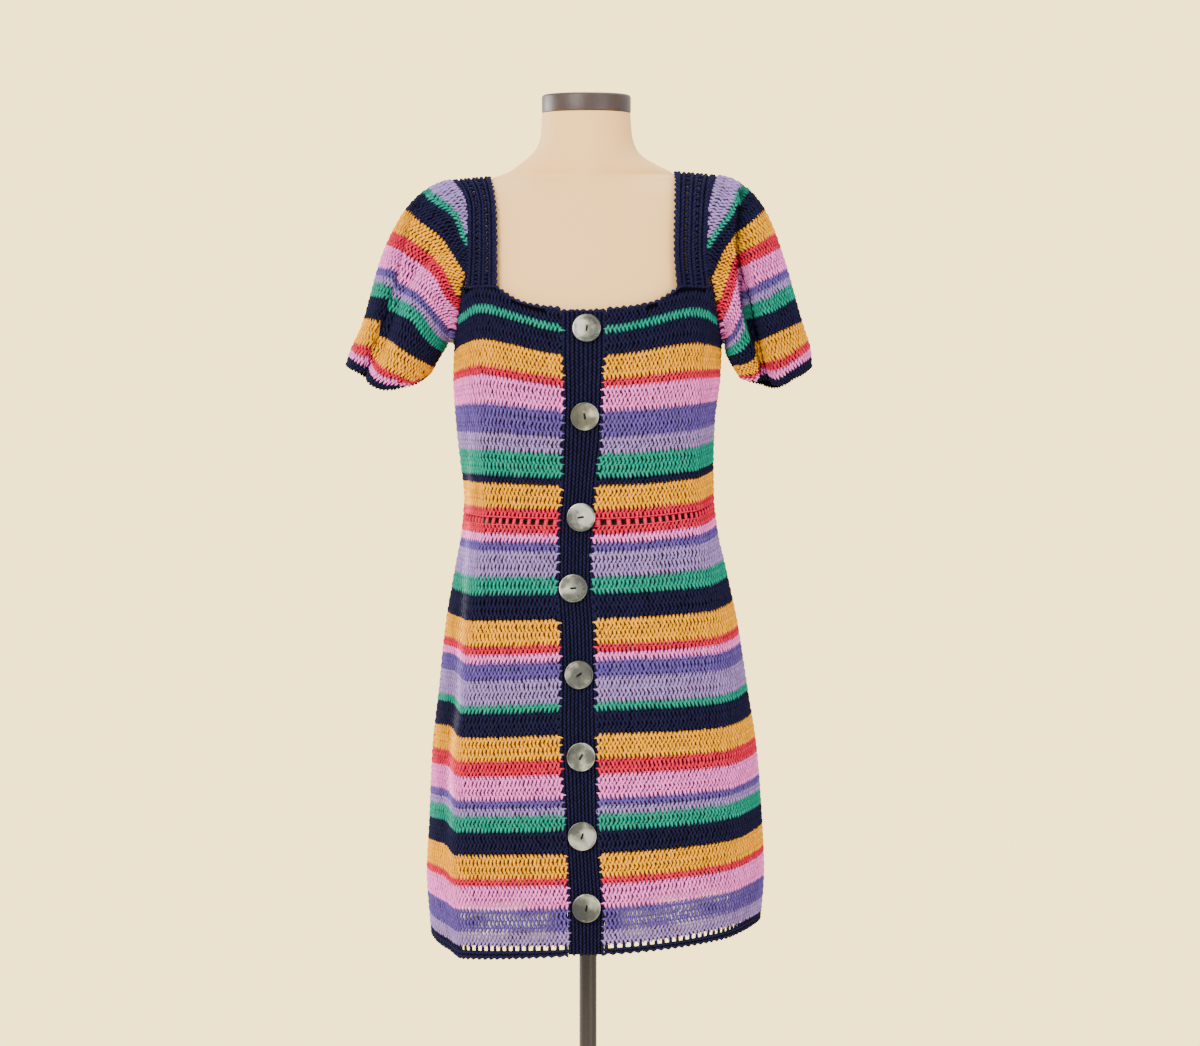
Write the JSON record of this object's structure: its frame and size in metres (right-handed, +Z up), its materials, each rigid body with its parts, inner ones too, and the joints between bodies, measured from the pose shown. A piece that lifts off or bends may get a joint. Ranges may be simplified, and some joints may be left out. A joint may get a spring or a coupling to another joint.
{
  "type": "crochet dress on a dress form",
  "caption": "Knee-length striped crochet dress with square neck, short puffed sleeves and a buttoned front band, standing on a limbless dress form with a round base.",
  "frame": {"origin": "centre of the flat underside of the form's round base, on the floor", "axes": "+Z up along the pole to the neck cap, the buttoned front faces -Y, +X is the viewer's right"},
  "size_m": [0.512, 0.3, 1.5],
  "materials": {
    "striped_crochet": "cotton crochet in stripes of green, navy, marigold, coral, pink, purple and lilac",
    "red_crochet": "coral cotton crochet, open squares",
    "navy_crochet": "navy cotton crochet",
    "button_shell": "grey-green mother of pearl, pale rim",
    "form_cover": "smooth beige jersey over a hard form",
    "cap_satin": "dark brown satin sheen",
    "stand_metal": "dark brown satin paint"
  },
  "bodies": {
    "root": {"bodice_front_left": "striped_crochet", "bodice_front_right": "striped_crochet", "bodice_back": "striped_crochet", "skirt_front_left": "striped_crochet", "skirt_front_right": "striped_crochet", "skirt_back": "striped_crochet", "sleeve_left": "striped_crochet", "sleeve_right": "striped_crochet", "waist_eyelets_front_left": "red_crochet", "waist_eyelets_front_right": "red_crochet", "waist_eyelets_back": "red_crochet", "hem_border_front_left": "navy_crochet", "hem_border_front_right": "navy_crochet", "hem_border_back": "navy_crochet", "shoulder_strap_left": "navy_crochet", "shoulder_strap_right": "navy_crochet", "cuff_left": "navy_crochet", "cuff_right": "navy_crochet", "button_band": "navy_crochet", "button_1": "button_shell", "button_2": "button_shell", "button_3": "button_shell", "button_4": "button_shell", "button_5": "button_shell", "button_6": "button_shell", "button_7": "button_shell", "button_8": "button_shell", "form_torso": "form_cover", "form_neck_cap": "cap_satin", "form_pole": "stand_metal", "form_base": "stand_metal"}
  },
  "joints": []
}
